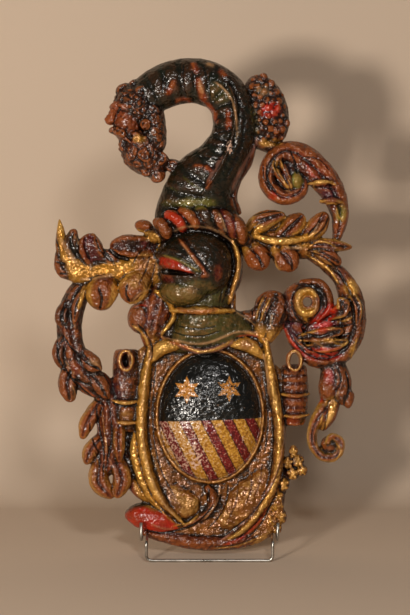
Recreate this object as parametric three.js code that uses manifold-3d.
// A carved, painted and gilded wooden coat of arms, standing on a stand of bent steel wire.
//
// Units are millimetres, +Z is up, and the carving faces -Y. The carving is one piece of wood with a
// flat back: an oval shield in a strapwork cartouche, a closed helmet with its torse, a crest that
// curls over into a bearded head, and leafy mantling on both sides. It leans back on its stand.
//
// The relief is laid out on its own board: x runs to the viewer's right, v runs up the board, and
// d stands out from the flat back towards the viewer. A form is given by stations [x, v, d, w, h],
// where w is half its width across the board and h is half its thickness.

import * as THREE from "three";
import { mergeVertices } from "three/addons/utils/BufferGeometryUtils.js";
import Module from "manifold-3d";

const wasm = await Module();
wasm.setup();

// Driving dimensions of the whole.
const LEAN = THREE.MathUtils.degToRad(8); // how far the board leans back
const BOARD_DROP = 6.3; // how far the board's zero line lies below the floor, along the board
const GROUND = 10; // the depth at which the flat back cuts the forms off
const BLOCK = 1500; // the size of a block larger than the whole relief
const GAP = 0.3; // the gap left between pieces that touch
const RELIEF_TRIANGLES = 8500;

// The cartouche's board, and the oval shield on it.
const PLATE = { thick: 24, bevel: 4 };
const SHIELD = { x: 0.6, v: 179, rx: 66, rv: 82.5 };
// The eye of the big scroll, pierced right through.
const EYE = { x: 122, v: 321, r: 6 };

// The stand: wire of one thickness, bent into a frame, a pair of hooks and a back rest.
const WIRE = { r: 2, sides: 8, bend: 7, bendSteps: 3 };
const FRAME = { half: 77.8, frontY: -45, armZ: 26, rearY: 130 };
const HOOKS = { half: 84.7, tipZ: 45, frontY: -26, backY: 20 };
const REST_TOP = 235; // how far up the board the back rest reaches

// Turns a closed geometry into a solid.
function solid(geometry) {
  const bare = geometry.index ? geometry.toNonIndexed() : geometry.clone();
  const only = new THREE.BufferGeometry().setAttribute("position", bare.getAttribute("position"));
  const merged = mergeVertices(only, 1e-3);
  return new wasm.Manifold(
    new wasm.Mesh({
      numProp: 3,
      vertProperties: merged.attributes.position.array,
      triVerts: new Uint32Array(merged.index.array),
    }),
  );
}

// Turns a solid back into a geometry.
function geometryOf(made) {
  const mesh = made.getMesh();
  const position = new Float32Array(mesh.numVert * 3);
  for (let i = 0; i < mesh.numVert; i++)
    position.set(mesh.vertProperties.subarray(i * mesh.numProp, i * mesh.numProp + 3), i * 3);
  const geometry = new THREE.BufferGeometry();
  geometry.setAttribute("position", new THREE.BufferAttribute(position, 3));
  geometry.setIndex(new THREE.BufferAttribute(mesh.triVerts, 1));
  geometry.computeVertexNormals();
  return geometry;
}

// A point of the board, in three.js axes.
const onBoard = (x, v, d) => new THREE.Vector3(x, -d, v);

// An oval section swept along a smooth line through its stations, closed to a point at each end.
// A high root or tip gives that end of the tube a blunt shape, and 2 gives it an egg's.
function strand(stations, { sides = 6, steps = 6, root = 4, tip = 4 } = {}) {
  const line = new THREE.CatmullRomCurve3(stations.map(([x, v, d]) => onBoard(x, v, d)));
  const size = new THREE.CatmullRomCurve3(stations.map(([, , , w, h]) => new THREE.Vector3(w, h, 0)));
  const front = new THREE.Vector3(0, -1, 0);
  const widen = 1 / Math.cos(Math.PI / sides); // so that the flats at the sides lie at the full width
  const position = [...line.getPoint(0).toArray()];
  for (let i = 1; i < steps; i++) {
    const t = (1 - Math.cos((Math.PI * i) / steps)) / 2;
    const blunt = t < 0.5 ? root : tip;
    const swell = Math.pow(1 - Math.pow(Math.abs(2 * t - 1), blunt), 1 / blunt);
    const along = line.getTangent(t);
    const across = new THREE.Vector3().crossVectors(along, front).normalize();
    const out = new THREE.Vector3().crossVectors(across, along).normalize();
    const { x: w, y: h } = size.getPoint(t);
    for (let k = 0; k < sides; k++) {
      const angle = (2 * Math.PI * (k + 0.5)) / sides;
      const point = line
        .getPoint(t)
        .addScaledVector(across, w * widen * swell * Math.cos(angle))
        .addScaledVector(out, h * swell * Math.sin(angle));
      position.push(...point.toArray());
    }
  }
  position.push(...line.getPoint(1).toArray());
  const last = position.length / 3 - 1;
  const ring = (i, k) => 1 + i * sides + (k % sides);
  const index = [];
  for (let k = 0; k < sides; k++) {
    index.push(0, ring(0, k), ring(0, k + 1));
    for (let i = 0; i < steps - 2; i++) {
      index.push(ring(i, k), ring(i + 1, k), ring(i + 1, k + 1));
      index.push(ring(i, k), ring(i + 1, k + 1), ring(i, k + 1));
    }
    index.push(last, ring(steps - 2, k + 1), ring(steps - 2, k));
  }
  const geometry = new THREE.BufferGeometry();
  geometry.setAttribute("position", new THREE.Float32BufferAttribute(position, 3));
  geometry.setIndex(index);
  const made = solid(geometry);
  return made.volume() < 0 ? solid(turned(geometry)) : made;
}

// The same geometry with its faces turned over.
function turned(geometry) {
  const index = geometry.index.array;
  for (let i = 0; i < index.length; i += 3) [index[i + 1], index[i + 2]] = [index[i + 2], index[i + 1]];
  return geometry;
}

// An egg-shaped boss, turned in the plane of the board by tilt degrees.
function boss(x, v, d, rx, rv, rd, { tilt = 0, around = 8, down = 5 } = {}) {
  const geometry = new THREE.SphereGeometry(1, around, down);
  geometry.rotateX(Math.PI / 2);
  geometry.scale(rx, rd, rv);
  geometry.rotateY(THREE.MathUtils.degToRad(tilt));
  geometry.translate(x, -d, v);
  return solid(geometry);
}

// A raised band that follows an oval.
function ovalBand({ x, v, rx, rv, d, w, h }, around = 20, sides = 4) {
  const position = [];
  const index = [];
  for (let i = 0; i < around; i++) {
    const turn = (2 * Math.PI * i) / around;
    for (let k = 0; k < sides; k++) {
      const angle = (2 * Math.PI * k) / sides;
      const reach = w * Math.cos(angle);
      const point = onBoard(
        x + (rx + reach) * Math.cos(turn),
        v + (rv + reach) * Math.sin(turn),
        d + h * Math.sin(angle),
      );
      position.push(...point.toArray());
      const next = ((i + 1) % around) * sides;
      const a = i * sides + k;
      const b = i * sides + ((k + 1) % sides);
      index.push(a, next + k, next + ((k + 1) % sides), a, next + ((k + 1) % sides), b);
    }
  }
  const geometry = new THREE.BufferGeometry();
  geometry.setAttribute("position", new THREE.Float32BufferAttribute(position, 3));
  geometry.setIndex(index);
  const made = solid(geometry);
  return made.volume() < 0 ? solid(turned(geometry)) : made;
}

// The cartouche's board: a bevelled slab with a curved outline.
function slab(outline, thick, bevel) {
  const shape = new THREE.Shape();
  shape.moveTo(...outline[0]);
  shape.splineThru([...outline.slice(1), outline[0]].map(([x, v]) => new THREE.Vector2(x, v)));
  const geometry = new THREE.ExtrudeGeometry(shape, {
    depth: thick,
    bevelThickness: bevel,
    bevelSize: bevel,
    bevelOffset: -bevel,
    bevelSegments: 1,
    curveSegments: 1,
  });
  geometry.rotateX(Math.PI / 2);
  return solid(geometry);
}

// A round hole through the relief, from back to front.
function hole(x, v, r) {
  const geometry = new THREE.CylinderGeometry(r, r, BLOCK, 10);
  geometry.translate(x, 0, v);
  return solid(geometry);
}

const fused = (solids) => solids.reduce((whole, next) => whole.add(next));

// Leaf lobes: blunt where they leave the rib, and round at a tip that rises off the ground.
const lobes = (list, options) =>
  list.map((stations) => strand(stations, { root: 10, tip: 2.4, ...options }));

// Thin raised lines, such as veins, bands and edges.
const lines = (list, options) => list.map((stations) => strand(stations, options));

// The board of the cartouche, its rolled frame, and the oval shield.
function cartouche() {
  const outline = [
    [-64, 344], [-72, 275], [-92, 256], [-92, 160], [-97, 132], [-90, 102], [-72, 70], [-50, 48],
    [-52, 24], [-10, 10], [26, 12], [63, 20], [84, 38], [93, 58], [88, 90], [93, 124],
    [96, 165], [92, 232], [78, 248], [74, 270], [76, 296], [46, 303], [34, 310], [30, 340],
  ];
  const { x, rv, rx, v } = SHIELD;
  return [
    slab(outline, PLATE.thick, PLATE.bevel),
    boss(x, v, 22, rx - 2, rv - 2, 30, { around: 20, down: 10 }),
    ovalBand({ x, v, rx, rv, d: 27, w: 2.6, h: 6 }, 24, 6),
    // The left and right rolls of the frame.
    strand(
      [
        [-72, 270, 26, 5, 8], [-82, 210, 28, 7, 13], [-84, 150, 28, 7, 13], [-66, 84, 28, 7, 13],
        [-30, 42, 26, 3, 8],
      ],
      { steps: 12 },
    ),
    strand(
      [[-92, 162, 20, 4, 8], [-93, 130, 22, 6, 10], [-76, 82, 22, 6, 10], [-40, 42, 22, 4, 8]],
      { steps: 8 },
    ),
    strand(
      [
        [68, 290, 26, 5, 8], [78, 220, 28, 7, 13], [87, 160, 28, 7, 13], [78, 90, 28, 7, 13],
        [40, 36, 26, 5, 10], [0, 16, 24, 3, 8],
      ],
      { steps: 14 },
    ),
    // The lobed top, under the gorget.
    strand([[-74, 246, 28, 6, 8], [-58, 264, 32, 9, 10], [-30, 266, 30, 5, 8]], { root: 2.5, tip: 2.5 }),
    strand([[24, 268, 30, 5, 8], [46, 268, 32, 9, 10], [70, 250, 28, 6, 8]], { root: 2.5, tip: 2.5 }),
    // The hooked stem below the shield and the swelling panels on both sides of it.
    strand(
      [
        [-4, 92, 30, 5, 6], [5, 76, 34, 6, 10], [-2, 60, 34, 5, 10], [-34, 40, 26, 3, 8],
      ],
      { steps: 8 },
    ),
    strand(
      [
        [-52, 96, 22, 12, 10], [-34, 70, 24, 20, 12], [-12, 70, 24, 15, 12],
      ],
      { root: 2.5, tip: 2.5 },
    ),
    strand(
      [
        [76, 118, 22, 12, 10], [50, 74, 24, 26, 14], [6, 38, 22, 14, 10],
      ],
      { root: 2.5, tip: 2.5, steps: 8 },
    ),
  ];
}

// The pieces below the cartouche: a curled tail, a lower band and a knobbly tuft.
function lowerOrnament() {
  const tuft = [
    [105, 133, 6, 9], [98, 120, 7, 8], [111, 122, 8, 8], [116, 110, 7, 7], [104, 106, 8, 8],
    [93, 93, 7, 9], [86, 78, 7, 8], [82, 64, 9, 8], [90, 52, 7, 10], [76, 48, 8, 8], [84, 38, 7, 8],
  ];
  return [
    strand(
      [[-106, 54, 16, 8, 9], [-88, 54, 20, 16, 14], [-62, 47, 22, 16, 14], [-38, 36, 20, 8, 10]],
      { steps: 8, root: 3 },
    ),
    strand(
      [
        [-88, 32, 14, 4, 8], [-60, 29, 18, 9, 12], [-20, 21, 20, 10, 14], [30, 21, 20, 10, 14],
        [78, 31, 14, 7, 10],
      ],
      { steps: 10 },
    ),
    strand(
      [
        [74, 32, 12, 9, 12], [83, 62, 13, 10, 13], [90, 92, 12, 8, 12], [105, 118, 12, 10, 10],
      ],
      { steps: 8 },
    ),
    ...tuft.map(([x, v, rx, rv]) => boss(x, v, 18, rx, rv, 11, { around: 6, down: 4 })),
  ];
}

// The closed helmet, facing left, with its gorget.
function helmet() {
  const pivot = [-8, 354];
  const rays = [[-40, 401], [-55, 389], [-63, 376], [-20, 406]];
  const whole = [
    boss(-16, 366, 30, 48, 46, 44, { around: 16, down: 10 }),
    boss(-30, 334, 32, 33, 20, 36, { around: 12, down: 7 }),
    strand(
      [
        [-66, 380, 30, 8, 16], [-30, 372, 50, 18, 22], [-4, 352, 58, 8, 14],
      ],
      { root: 2.5, tip: 2.5, sides: 8 },
    ),
    ...lines(
      rays.map(([x, v]) => [
        [x, v, 44, 2, 5], [(x + pivot[0]) / 2, (v + pivot[1]) / 2, 66, 2.6, 6], [...pivot, 68, 2, 6],
      ]),
    ),
    boss(...pivot, 71, 5, 5, 5, { around: 6, down: 4 }),
    // The gilded edge that follows the back of the helmet.
    strand(
      [
        [-52, 406, 32, 3, 8], [-14, 416, 36, 3, 9], [24, 402, 36, 3, 10], [36, 370, 34, 4, 12],
        [24, 318, 30, 4, 12],
      ],
      { steps: 11 },
    ),
    // The ground between the helmet and that edge.
    strand([[6, 406, 20, 12, 12], [25, 388, 20, 13, 12], [30, 360, 20, 12, 12], [22, 330, 20, 12, 12]]),
    boss(-60, 340, 18, 15, 18, 12),
    boss(-62, 395, 20, 16, 12, 12),
    // The neck and the gorget.
    strand(
      [
        [-8, 346, 24, 42, 30], [-8, 316, 24, 33, 30], [-8, 304, 24, 36, 32], [-2, 284, 22, 56, 28],
        [2, 264, 20, 58, 20],
      ],
      { sides: 12, steps: 8, root: 10, tip: 7 },
    ),
    strand([[-46, 310, 30, 4, 16], [-10, 310, 54, 4.5, 8], [28, 310, 30, 4, 16]], { steps: 7 }),
    strand(
      [
        [-62, 278, 26, 3, 6], [-34, 267, 34, 4, 7], [-8, 259, 38, 4, 7], [18, 267, 34, 4, 7],
        [40, 282, 30, 3.5, 7], [67, 278, 26, 3, 6],
      ],
      { steps: 11 },
    ),
  ];
  const slit = strand([[-80, 367, 50, 6, 40], [-46, 361, 66, 5, 14], [-14, 355, 76, 2, 6]], { steps: 6 });
  return fused(whole).subtract(slit);
}

// The twisted wreath over the helmet.
function torse() {
  const turns = [[-60, 412, 17], [-38, 424, 18], [-12, 427, 18], [16, 421, 18], [40, 407, 17]];
  return [
    strand([[-78, 398, 24, 12, 20], [-14, 422, 32, 14, 26], [58, 392, 24, 12, 20]], { steps: 8 }),
    ...turns.map(([x, v, r]) => boss(x, v, 44, r, 11, 20, { tilt: -32, around: 8, down: 6 })),
    boss(-82, 416, 24, 12, 8, 12, { tilt: 10 }),
    boss(-73, 402, 24, 10, 12, 14),
  ];
}

// The crest: a ribbed neck that curls over to the left.
function crestNeck() {
  const stations = [
    [-16, 412, 24, 57, 22], [-15, 440, 28, 50, 27], [-8, 469, 32, 41, 30], [13, 495, 34, 32, 28],
    [27, 522, 34, 27, 26], [30, 550, 34, 26, 25], [20, 578, 34, 27, 25], [-6, 594, 34, 28, 25],
    [-38, 595, 34, 28, 25], [-66, 584, 34, 27, 25], [-86, 570, 32, 24, 22],
  ];
  const ridge = [
    [8, 610, 44, 3, 5], [30, 574, 57, 3.5, 6], [29, 530, 57, 3.5, 6], [14, 488, 60, 4, 6],
    [-10, 452, 58, 3, 5],
  ];
  // Ribs cross the belly, between its inner edge and the ridge.
  const ribs = [
    [[-46, 568], [-54, 590]], [[-18, 568], [-16, 600]], [[0, 562], [14, 588]], [[6, 546], [28, 556]],
    [[2, 522], [26, 528]], [[-12, 504], [14, 500]], [[-34, 490], [2, 474]], [[-52, 470], [-12, 452]],
  ];
  const rib = ([[xa, va], [xb, vb]]) => [
    [xa, va, 40, 3, 6], [(xa + xb) / 2, (va + vb) / 2, 56, 4, 5], [xb, vb, 57, 3, 4],
  ];
  return [
    strand(stations, { sides: 10, steps: 24, root: 14, tip: 14 }),
    // The strip along the outer edge.
    strand(
      [
        [58, 526, 20, 3, 9], [48, 496, 22, 6, 12], [33, 470, 22, 6, 12], [29, 450, 22, 6, 12],
        [38, 430, 22, 5, 10],
      ],
      { steps: 9 },
    ),
    ...lines([ridge], { steps: 12 }),
    ...lines(ribs.map(rib)),
  ];
}

// The bearded head at the end of the crest.
function head() {
  const locks = [
    [-106, 584, 30, 12, 10], [-90, 589, 32, 12, 10], [-70, 556, 38, 12, 14], [-66, 536, 36, 12, 12],
    [-66, 518, 36, 11, 12], [-84, 580, 44, 12, 11], [-104, 516, 34, 11, 12], [-92, 524, 44, 12, 10],
    [-94, 502, 38, 11, 12], [-78, 500, 42, 12, 12], [-62, 498, 36, 12, 12], [-80, 486, 36, 11, 11],
    [-64, 477, 36, 10, 10], [-46, 491, 30, 11, 9], [-78, 540, 46, 9, 12],
  ];
  return [
    boss(-92, 564, 32, 28, 28, 26, { around: 12, down: 8 }),
    boss(-102, 544, 32, 19, 26, 24, { around: 10, down: 8 }),
    strand(
      [[-96, 530, 32, 22, 22], [-84, 508, 32, 26, 24], [-66, 484, 30, 14, 16], [-58, 472, 30, 6, 10]],
      { root: 3, tip: 3, sides: 8 },
    ),
    strand([[-76, 584, 32, 15, 18], [-71, 548, 32, 16, 22], [-66, 508, 32, 15, 20]], { sides: 8 }),
    // Brow, nose and moustache, then the cheek.
    ...lines([
      [[-118, 563, 28, 4, 9], [-112, 563, 44, 6, 9], [-97, 561, 52, 5, 8]],
      [[-114, 562, 38, 4, 8], [-121, 551, 42, 6, 12], [-125, 543, 38, 6, 9]],
      [[-121, 534, 30, 4, 8], [-111, 531, 47, 6, 8], [-96, 521, 48, 5, 8]],
    ]),
    boss(-104, 547, 47, 10, 10, 10),
    ...locks.map(([x, v, d, r, rd], i) =>
      boss(x, v, d, r, r * 0.8, rd, { tilt: 40 * (i % 3) - 30, around: 6, down: 5 }),
    ),
  ];
}

// The knobbly oval tuft behind the crest and the volute under it, both on the right.
function upperRight() {
  const nubs = [
    [50, 596, 8], [62, 590, 9], [60, 574, 8], [78, 586, 9], [90, 572, 9], [94, 552, 9], [92, 534, 9],
    [78, 528, 10],
    [64, 534, 9], [56, 552, 7], [80, 546, 9],
  ];
  return [
    boss(70, 561, 22, 28, 46, 20, { tilt: -17, around: 14, down: 8 }),
    ...nubs.map(([x, v, r]) => boss(x, v, 32, r, r, 10, { around: 6, down: 4 })),
    strand(
      [
        [158, 392, 20, 8, 13], [163, 430, 22, 13, 16], [152, 462, 24, 17, 18], [134, 484, 24, 19, 18],
        [114, 502, 24, 18, 17], [94, 508, 26, 13, 16], [76, 494, 28, 11, 16], [73, 468, 28, 11, 16],
        [92, 451, 30, 10, 14], [114, 460, 30, 10, 12], [117, 478, 28, 7, 11],
      ],
      { steps: 20, sides: 8 },
    ),
    boss(100, 480, 20, 22, 26, 17, { around: 10, down: 6 }),
    boss(108, 472, 36, 8, 10, 10),
    ...lines([
      [[78, 490, 36, 3, 6], [86, 478, 42, 4, 6], [98, 462, 38, 3, 6]],
      [[88, 496, 36, 3, 6], [95, 482, 42, 4, 6], [102, 462, 40, 3, 6]],
      [[124, 468, 32, 3, 6], [140, 469, 43, 4, 6], [154, 470, 32, 3, 6]],
      [[138, 446, 28, 3, 6], [152, 447, 41, 4, 6], [166, 444, 28, 3, 6]],
    ]),
    // The link between the tuft, the neck and the volute.
    strand([[40, 542, 18, 9, 14], [60, 524, 20, 10, 14], [86, 512, 22, 10, 14]], { root: 3, tip: 3 }),
  ];
}

// The leaves to the right of the helmet.
function rightLeaves() {
  return [
    strand(
      [[36, 396, 18, 16, 16], [76, 396, 20, 19, 16], [112, 392, 22, 18, 16], [150, 387, 18, 10, 12]],
      { steps: 8, sides: 8 },
    ),
    ...lobes([
      [[44, 400, 22, 9, 12], [64, 420, 32, 13, 13], [94, 430, 38, 8, 9]],
      [[86, 400, 22, 10, 12], [104, 416, 34, 14, 14], [117, 430, 38, 10, 9]],
      [[112, 396, 22, 10, 12], [133, 414, 34, 13, 13], [145, 432, 40, 10, 10]],
      [[112, 394, 24, 6, 9], [146, 392, 30, 9, 10], [178, 389, 28, 6, 8]],
      [[46, 396, 22, 10, 12], [60, 376, 34, 16, 14], [70, 362, 36, 12, 10]],
      [[80, 396, 22, 10, 12], [96, 374, 34, 16, 14], [106, 360, 36, 12, 10]],
      [[126, 390, 22, 7, 9], [148, 378, 32, 10, 10], [164, 368, 30, 7, 8]],
    ]),
    boss(88, 417, 20, 15, 11, 14),
    // The raised midrib.
    strand(
      [[52, 404, 34, 3, 6], [84, 396, 42, 5, 7], [128, 404, 38, 4, 6], [142, 420, 46, 3, 5]],
      { steps: 8 },
    ),
  ];
}

// The stem that leaves them, the big scroll with its eye, and the leaf and tail that hang from it.
function rightScroll() {
  return [
    strand(
      [
        [112, 390, 20, 10, 12], [142, 371, 22, 10, 13], [166, 350, 22, 12, 14], [178, 320, 24, 16, 17],
        [178, 284, 24, 16, 17], [160, 256, 24, 15, 16], [132, 252, 24, 13, 15], [108, 270, 22, 9, 13],
        [94, 296, 20, 6, 10],
      ],
      { steps: 18, sides: 8 },
    ),
    boss(121, 318, 18, 32, 30, 21, { around: 14, down: 7 }),
    ovalBand({ x: EYE.x, v: EYE.v, rx: 12, rv: 14, d: 36, w: 5, h: 7 }, 14, 6),
    boss(110, 289, 16, 13, 14, 15),
    strand(
      [
        [112, 346, 24, 5, 8], [140, 342, 28, 6, 9], [150, 316, 30, 5, 9], [134, 296, 30, 3, 7],
      ],
      { steps: 8 },
    ),
    boss(146, 288, 14, 34, 32, 18, { around: 12, down: 6 }),
    ...lobes([
      [[112, 276, 26, 4, 7], [140, 280, 40, 9, 10], [166, 286, 42, 7, 8]],
      [[116, 262, 26, 4, 7], [146, 266, 40, 8, 9], [172, 272, 40, 6, 8]],
      [[148, 302, 26, 5, 8], [166, 314, 40, 10, 9], [160, 326, 42, 6, 7]],
      [[170, 340, 26, 4, 7], [184, 316, 38, 5, 8], [184, 290, 36, 4, 7]],
    ]),
    // The hanging leaf and its tail.
    ...lobes([
      [[154, 258, 20, 9, 12], [163, 224, 26, 14, 15], [168, 192, 30, 10, 10]],
      [[150, 254, 20, 9, 12], [150, 216, 26, 14, 14], [142, 196, 26, 9, 10]],
      [[162, 214, 22, 7, 10], [172, 206, 30, 8, 9], [173, 188, 32, 6, 7]],
    ]),
    strand(
      [
        [158, 214, 22, 11, 12], [146, 190, 24, 12, 12], [131, 168, 24, 7, 11], [128, 146, 24, 6, 11],
        [141, 128, 24, 6, 11],
        [159, 130, 24, 6, 11], [163, 146, 26, 6, 11], [152, 153, 28, 5, 10], [146, 144, 30, 4, 9],
      ],
      { steps: 18 },
    ),
    boss(151, 142, 20, 12, 12, 13),
    strand([[158, 202, 22, 9, 10], [150, 180, 24, 9, 12], [140, 160, 22, 6, 8]], { root: 3, tip: 3 }),
  ];
}

// The leaf to the left of the helmet: a gilded midrib that ends in an upper spike, and its lobes.
function leftLeaf() {
  return [
    strand(
      [
        [-40, 370, 20, 36, 16], [-72, 366, 22, 27, 16], [-100, 363, 24, 19, 16], [-134, 358, 25, 17, 16],
        [-164, 362, 26, 18, 15], [-182, 388, 28, 11, 11], [-187, 424, 30, 3, 4],
      ],
      { steps: 14, sides: 8 },
    ),
    ...lobes([
      [[-156, 366, 24, 7, 10], [-171, 392, 34, 10, 12], [-168, 412, 38, 7, 9]],
      [[-134, 362, 24, 12, 12], [-148, 388, 36, 16, 14], [-148, 406, 38, 12, 10]],
      [[-66, 388, 22, 13, 14], [-98, 390, 34, 15, 15], [-124, 390, 36, 13, 11]],
      [[-112, 362, 24, 9, 12], [-124, 376, 32, 10, 10], [-133, 386, 30, 6, 8]],
      [[-126, 358, 24, 12, 12], [-134, 332, 36, 20, 16], [-134, 310, 38, 15, 11]],
      [[-82, 356, 24, 14, 14], [-94, 338, 36, 19, 15], [-103, 320, 38, 14, 11]],
      [[-162, 358, 22, 9, 10], [-180, 362, 28, 12, 11], [-189, 392, 26, 5, 8]],
    ]),
    // The raised midrib.
    strand(
      [[-66, 378, 38, 4, 6], [-120, 362, 41, 5, 6], [-158, 366, 42, 5, 6], [-182, 402, 38, 3, 5]],
      { steps: 8 },
    ),
  ];
}

// The long mantling that hangs from the left leaf, and the lower leaf with its two curls.
function leftMantling() {
  return [
    strand(
      [
        [-152, 352, 22, 10, 12], [-166, 328, 24, 16, 16], [-175, 298, 24, 16, 17],
        [-174, 272, 24, 16, 17],
        [-168, 246, 24, 21, 18], [-150, 224, 24, 20, 17], [-128, 204, 20, 14, 14],
      ],
      { steps: 14, sides: 8 },
    ),
    ...lobes([
      [[-162, 256, 24, 12, 12], [-176, 222, 30, 13, 14], [-173, 196, 32, 10, 10]],
      [[-160, 258, 24, 8, 12], [-146, 244, 34, 12, 12], [-134, 236, 34, 6, 8]],
      [[-172, 326, 26, 6, 9], [-184, 304, 34, 9, 10], [-180, 286, 34, 6, 8]],
      [[-152, 344, 28, 5, 8], [-164, 318, 41, 6, 8], [-168, 294, 38, 5, 8]],
      [[-176, 284, 26, 6, 9], [-188, 260, 34, 8, 10], [-184, 238, 34, 6, 8]],
      [[-152, 236, 26, 7, 9], [-136, 218, 34, 10, 10], [-126, 200, 32, 7, 8]],
    ]),
    strand(
      [
        [-140, 232, 18, 12, 12], [-126, 200, 20, 16, 14], [-123, 160, 22, 18, 14],
        [-126, 126, 22, 16, 14], [-132, 102, 18, 9, 10],
      ],
      { steps: 9, sides: 8 },
    ),
    ...lobes([
      [[-134, 200, 20, 8, 10], [-152, 172, 28, 10, 12], [-159, 150, 30, 7, 8]],
      [[-132, 154, 20, 8, 10], [-148, 136, 28, 10, 12], [-154, 118, 30, 7, 8]],
      [[-136, 128, 20, 9, 10], [-138, 98, 26, 13, 13], [-121, 76, 28, 9, 9]],
      [[-118, 126, 20, 9, 10], [-109, 100, 26, 12, 13], [-116, 76, 28, 9, 9]],
      [[-112, 182, 22, 6, 9], [-113, 150, 32, 8, 10], [-112, 120, 30, 6, 8]],
    ]),
    // The thin strut that ties the leaf to the cartouche.
    strand(
      [
        [-106, 168, 12, 10, 6], [-101, 132, 12, 11, 7], [-96, 104, 12, 8, 8], [-70, 70, 14, 5, 7],
      ],
      { steps: 8 },
    ),
    strand([[-102, 100, 16, 6, 8], [-90, 86, 18, 8, 9], [-72, 70, 18, 6, 8]], { steps: 5 }),
  ];
}

// The rolled tubes beside the cartouche, with an open mouth at the top.
function sideRolls() {
  const band = (x, v, d) => [[x - 17, v + 2, 20, 3, 8], [x, v, d, 3, 5], [x + 17, v + 2, 20, 3, 8]];
  const roll = (x, top, foot, mouthV) => [
    strand(
      [[x, top, 18, 17, 17], [x, (top + foot) / 2, 18, 18, 19], [x, foot, 18, 15, 16]],
      { sides: 10, steps: 8, root: 7, tip: 7 },
    ),
    ovalBand({ x, v: mouthV, rx: 8, rv: 12, d: 32, w: 3, h: 6 }, 12, 6),
    ...lines([band(x, foot + 38, 37), band(x, foot + 12, 35)]),
  ];
  const mouthV = 248;
  const mouth = (x) => boss(x, mouthV, 38, 5, 9, 16);
  const both = fused([...roll(-104, 262, 158, mouthV), ...roll(106, 243, 166, mouthV)]);
  return both.subtract(mouth(-104)).subtract(mouth(106));
}

// The ear-like scrolls between the gorget and the cartouche.
function ears() {
  return [
    boss(-86, 301, 24, 17, 20, 17, { around: 10, down: 6 }),
    strand(
      [
        [-74, 262, 20, 9, 12], [-72, 290, 24, 18, 15], [-66, 318, 26, 20, 15], [-64, 340, 22, 10, 10],
      ],
      { sides: 8 },
    ),
    strand(
      [
        [68, 266, 20, 9, 12], [72, 292, 24, 21, 15], [79, 316, 26, 23, 14], [84, 334, 22, 14, 10],
      ],
      { sides: 8 },
    ),
    ...lines([
      [[-68, 336, 34, 3, 6], [-50, 320, 38, 3.5, 7], [-44, 304, 36, 3.5, 7], [-60, 280, 30, 3, 6]],
      ...[0, 1, 2].map((i) => [
        [-76 + 4 * i, 276, 32, 3, 6], [-80 + 8 * i, 304, 40, 3.5, 6], [-74 + 8 * i, 328, 36, 3, 5],
      ]),
      ...[0, 1, 2, 3].map((i) => [
        [62 + 6 * i, 282, 32, 3, 6], [62 + 8 * i, 304, 40, 3.5, 6], [62 + 11 * i, 328 - 2 * i, 34, 3, 5],
      ]),
    ]),
    strand([[38, 304, 22, 8, 12], [52, 302, 24, 9, 13], [66, 312, 24, 8, 12]]),
  ];
}

// The whole carving, cut flat at the back.
function carving() {
  const parts = [
    ...cartouche(), ...lowerOrnament(), helmet(), ...torse(), ...crestNeck(), ...head(), ...upperRight(),
    ...rightLeaves(), ...rightScroll(), ...leftLeaf(), ...leftMantling(), sideRolls(), ...ears(),
  ];
  const behind = new THREE.BoxGeometry(BLOCK, BLOCK, BLOCK);
  behind.translate(0, BLOCK / 2 - GROUND, 0);
  return fused(parts).subtract(solid(behind)).subtract(hole(EYE.x, EYE.v, EYE.r));
}

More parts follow.
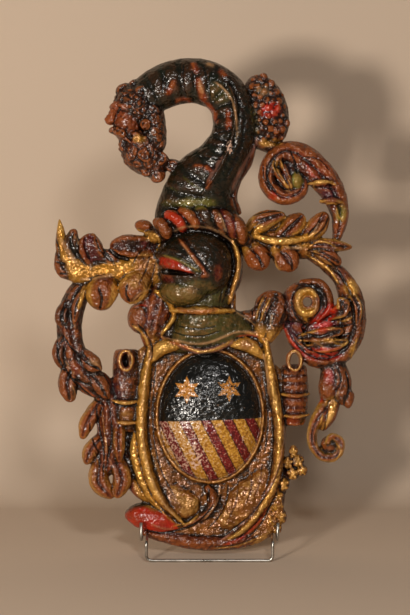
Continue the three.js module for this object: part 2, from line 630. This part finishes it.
// Thins a closed mesh out to a number of triangles, by closing up the edges whose loss moves the
// surface least. Each corner remembers the planes that met there, and an edge closes only where that
// keeps the surface closed and turns no triangle over.
function thinned(made, target) {
  const mesh = made.getMesh();
  const points = Array.from({ length: mesh.numVert }, (_, i) =>
    new THREE.Vector3().fromArray(mesh.vertProperties, i * mesh.numProp),
  );
  const cornersOf = (i) => [...mesh.triVerts.subarray(3 * i, 3 * i + 3)];
  const faces = Array.from({ length: mesh.numTri }, (_, i) => cornersOf(i));
  const facesOf = points.map(() => new Set());
  const planes = points.map(() => new Float64Array(10));
  const normalOf = ([a, b, c], swap) => {
    const [p, q, r] = [a, b, c].map((i) => (swap && swap.has(i) ? swap.get(i) : points[i]));
    return new THREE.Vector3().subVectors(q, p).cross(new THREE.Vector3().subVectors(r, p));
  };
  faces.forEach((face, i) => {
    const normal = normalOf(face);
    const area = normal.length() / 2;
    normal.normalize();
    const n = [normal.x, normal.y, normal.z, -normal.dot(points[face[0]])];
    let k = 0;
    for (let a = 0; a < 4; a++)
      for (let b = a; b < 4; b++, k++) for (const corner of face) planes[corner][k] += area * n[a] * n[b];
    face.forEach((corner) => facesOf[corner].add(i));
  });
  const miss = (a, b, { x, y, z }) => {
    const q = planes[a].map((value, k) => value + planes[b][k]);
    return (
      q[0] * x * x + 2 * q[1] * x * y + 2 * q[2] * x * z + 2 * q[3] * x + q[4] * y * y +
      2 * q[5] * y * z + 2 * q[6] * y + q[7] * z * z + 2 * q[8] * z + q[9]
    );
  };
  const age = new Uint32Array(points.length);
  const queue = [];
  const put = (item) => {
    let i = queue.push(item) - 1;
    while (i > 0) {
      const up = (i - 1) >> 1;
      if (queue[up].cost <= item.cost) break;
      queue[i] = queue[up];
      i = up;
    }
    queue[i] = item;
  };
  const take = () => {
    const first = queue[0];
    const last = queue.pop();
    if (queue.length === 0) return first;
    let i = 0;
    for (;;) {
      let down = 2 * i + 1;
      if (down >= queue.length) break;
      if (down + 1 < queue.length && queue[down + 1].cost < queue[down].cost) down++;
      if (queue[down].cost >= last.cost) break;
      queue[i] = queue[down];
      i = down;
    }
    queue[i] = last;
    return first;
  };
  const neighbours = (v) => {
    const corners = [...facesOf[v]].flatMap((i) => faces[i]);
    return new Set(corners.filter((other) => other !== v));
  };
  const offer = (a, b) => {
    const middle = new THREE.Vector3().addVectors(points[a], points[b]).multiplyScalar(0.5);
    const short = 1e-4 * points[a].distanceToSquared(points[b]);
    const [best] = [points[a], points[b], middle]
      .map((point) => ({ point: point.clone(), cost: miss(a, b, point) + short }))
      .sort((one, two) => one.cost - two.cost);
    put({ a, b, ages: age[a] + age[b], ...best });
  };
  points.forEach((_, v) => neighbours(v).forEach((other) => v < other && offer(v, other)));
  let left = faces.length;
  while (left > target && queue.length > 0) {
    const { a, b, ages, point } = take();
    if (age[a] + age[b] !== ages || facesOf[a].size === 0 || facesOf[b].size === 0) continue;
    const shared = [...facesOf[a]].filter((i) => facesOf[b].has(i));
    const around = neighbours(b);
    const common = [...neighbours(a)].filter((v) => around.has(v));
    if (shared.length !== 2 || common.length !== 2) continue;
    const moved = new Map([[a, point], [b, point]]);
    const kept = [...facesOf[a], ...facesOf[b]].filter((i) => !shared.includes(i));
    const flips = kept.some((i) => {
      const before = normalOf(faces[i]);
      const after = normalOf(faces[i], moved);
      return after.dot(before) < 0.3 * after.length() * before.length() || after.length() < 1e-3;
    });
    if (flips) continue;
    points[a] = point;
    planes[a] = planes[a].map((value, k) => value + planes[b][k]);
    shared.forEach((i) => faces[i].forEach((corner) => facesOf[corner].delete(i)));
    [...facesOf[b]].forEach((i) => {
      faces[i] = faces[i].map((corner) => (corner === b ? a : corner));
      facesOf[a].add(i);
    });
    facesOf[b].clear();
    shared.forEach((i) => (faces[i] = null));
    left -= 2;
    age[a] += 1e4;
    neighbours(a).forEach((other) => offer(a, other));
  }
  const geometry = new THREE.BufferGeometry().setFromPoints(points);
  geometry.setIndex(faces.filter(Boolean).flat());
  return solid(geometry);
}

// A wire bent along its corners, with every bend rounded. Its section has flats that stay square to
// the floor, and a closed wire runs round to its start.
function wire(corners, { closed = false, r = WIRE.r } = {}) {
  const points = corners.map((corner) => new THREE.Vector3(...corner));
  const count = points.length;
  const path = [];
  points.forEach((corner, i) => {
    const before = points[(i + count - 1) % count];
    const after = points[(i + 1) % count];
    if (!closed && (i === 0 || i === count - 1)) {
      path.push(corner);
      return;
    }
    const [into, out] = [before, after].map((other) =>
      corner.clone().add(new THREE.Vector3().subVectors(other, corner).setLength(WIRE.bend)),
    );
    path.push(...new THREE.QuadraticBezierCurve3(into, corner, out).getPoints(WIRE.bendSteps));
  });
  const last = path.length - 1;
  const tangents = path.map((point, i) => {
    const before = closed || i > 0 ? path[(i + last) % (last + 1)] : point;
    const after = closed || i < last ? path[(i + 1) % (last + 1)] : point;
    const into = new THREE.Vector3().subVectors(point, before).normalize();
    return into.add(new THREE.Vector3().subVectors(after, point).normalize()).normalize();
  });
  // The section is carried from station to station, turning only as the wire bends.
  let side = new THREE.Vector3(1, 0, 0).projectOnPlane(tangents[0]);
  if (side.length() < 0.5) side = new THREE.Vector3(0, 1, 0);
  side.normalize();
  const position = [];
  const radius = r / Math.cos(Math.PI / WIRE.sides);
  path.forEach((point, i) => {
    if (i > 0) {
      const turn = new THREE.Quaternion().setFromUnitVectors(tangents[i - 1], tangents[i]);
      side = side.clone().applyQuaternion(turn);
    }
    const up = new THREE.Vector3().crossVectors(tangents[i], side);
    for (let k = 0; k < WIRE.sides; k++) {
      const angle = (2 * Math.PI * (k + 0.5)) / WIRE.sides;
      const edge = point
        .clone()
        .addScaledVector(side, radius * Math.cos(angle))
        .addScaledVector(up, radius * Math.sin(angle));
      position.push(...edge.toArray());
    }
  });
  const ring = (i, k) => (i % (last + 1)) * WIRE.sides + (k % WIRE.sides);
  const index = [];
  for (let i = 0; i < last + (closed ? 1 : 0); i++)
    for (let k = 0; k < WIRE.sides; k++) {
      index.push(ring(i, k), ring(i, k + 1), ring(i + 1, k + 1));
      index.push(ring(i, k), ring(i + 1, k + 1), ring(i + 1, k));
    }
  if (!closed)
    for (let k = 1; k < WIRE.sides - 1; k++) {
      index.push(ring(0, 0), ring(0, k + 1), ring(0, k), ring(last, 0), ring(last, k), ring(last, k + 1));
    }
  const geometry = new THREE.BufferGeometry();
  geometry.setAttribute("position", new THREE.Float32BufferAttribute(position, 3));
  geometry.setIndex(index);
  const made = solid(geometry);
  return made.volume() < 0 ? solid(turned(geometry)) : made;
}

// The three wires of the stand, at any thickness.
function standWires(r) {
  const { half, frontY, armZ, rearY } = FRAME;
  const foot = WIRE.r;
  const hookZ = armZ - 2 * WIRE.r - GAP;
  // A point on the middle line of the back rest, some way up the board.
  const behind = (x, v) => {
    const up = v - BOARD_DROP;
    const off = WIRE.r + GAP;
    return [
      x,
      up * Math.sin(LEAN) + off * Math.cos(LEAN),
      up * Math.cos(LEAN) - off * Math.sin(LEAN),
    ];
  };
  const sectionRise = 0.4; // the wire's cut end tips up with the board
  const overArm = armZ + WIRE.r + GAP + (WIRE.r + GAP) * Math.sin(LEAN);
  const restFoot = overArm / Math.cos(LEAN) + BOARD_DROP + sectionRise;
  return {
    stand_frame: wire(
      [
        [-half, rearY, foot], [-half, rearY, armZ], [-half, frontY, armZ], [-half, frontY, foot],
        [half, frontY, foot], [half, frontY, armZ], [half, rearY, armZ], [half, rearY, foot],
      ],
      { closed: true, r },
    ),
    stand_hooks: wire(
      [
        [-HOOKS.half, HOOKS.frontY, HOOKS.tipZ], [-HOOKS.half, HOOKS.frontY, hookZ],
        [-HOOKS.half, HOOKS.backY, hookZ],
        [HOOKS.half, HOOKS.backY, hookZ], [HOOKS.half, HOOKS.frontY, hookZ],
        [HOOKS.half, HOOKS.frontY, HOOKS.tipZ],
      ],
      { r },
    ),
    stand_back_rest: wire(
      [behind(-half, restFoot), behind(-half, REST_TOP), behind(half, REST_TOP), behind(half, restFoot)],
      { r },
    ),
  };
}

// The carving as it leans on the stand, hollowed a little where a wire bears on it.
function leaningCarving() {
  const upright = new THREE.Matrix4()
    .makeRotationX(-LEAN)
    .multiply(new THREE.Matrix4().makeTranslation(0, GROUND, -BOARD_DROP));
  const placed = geometryOf(thinned(carving(), RELIEF_TRIANGLES)).applyMatrix4(upright);
  return Object.values(standWires(WIRE.r + GAP)).reduce((rest, bar) => rest.subtract(bar), solid(placed));
}

// The object: every piece with its own material, the middle of its box over the origin.
const wood = new THREE.MeshStandardMaterial({ color: 0x6b3a1c, roughness: 0.35, metalness: 0.1 });
const steel = () => new THREE.MeshStandardMaterial({ color: 0xb9b6ae, roughness: 0.3, metalness: 1 });
const whole = new THREE.Group();
function piece(name, made, material) {
  const mesh = new THREE.Mesh(geometryOf(made), material);
  mesh.name = name;
  whole.add(mesh);
}
piece("carved_arms", leaningCarving(), wood);
for (const [name, bar] of Object.entries(standWires(WIRE.r))) piece(name, bar, steel());
const middle = new THREE.Box3().setFromObject(whole).getCenter(new THREE.Vector3());
whole.position.set(-middle.x, -middle.y, 0);

export default whole;
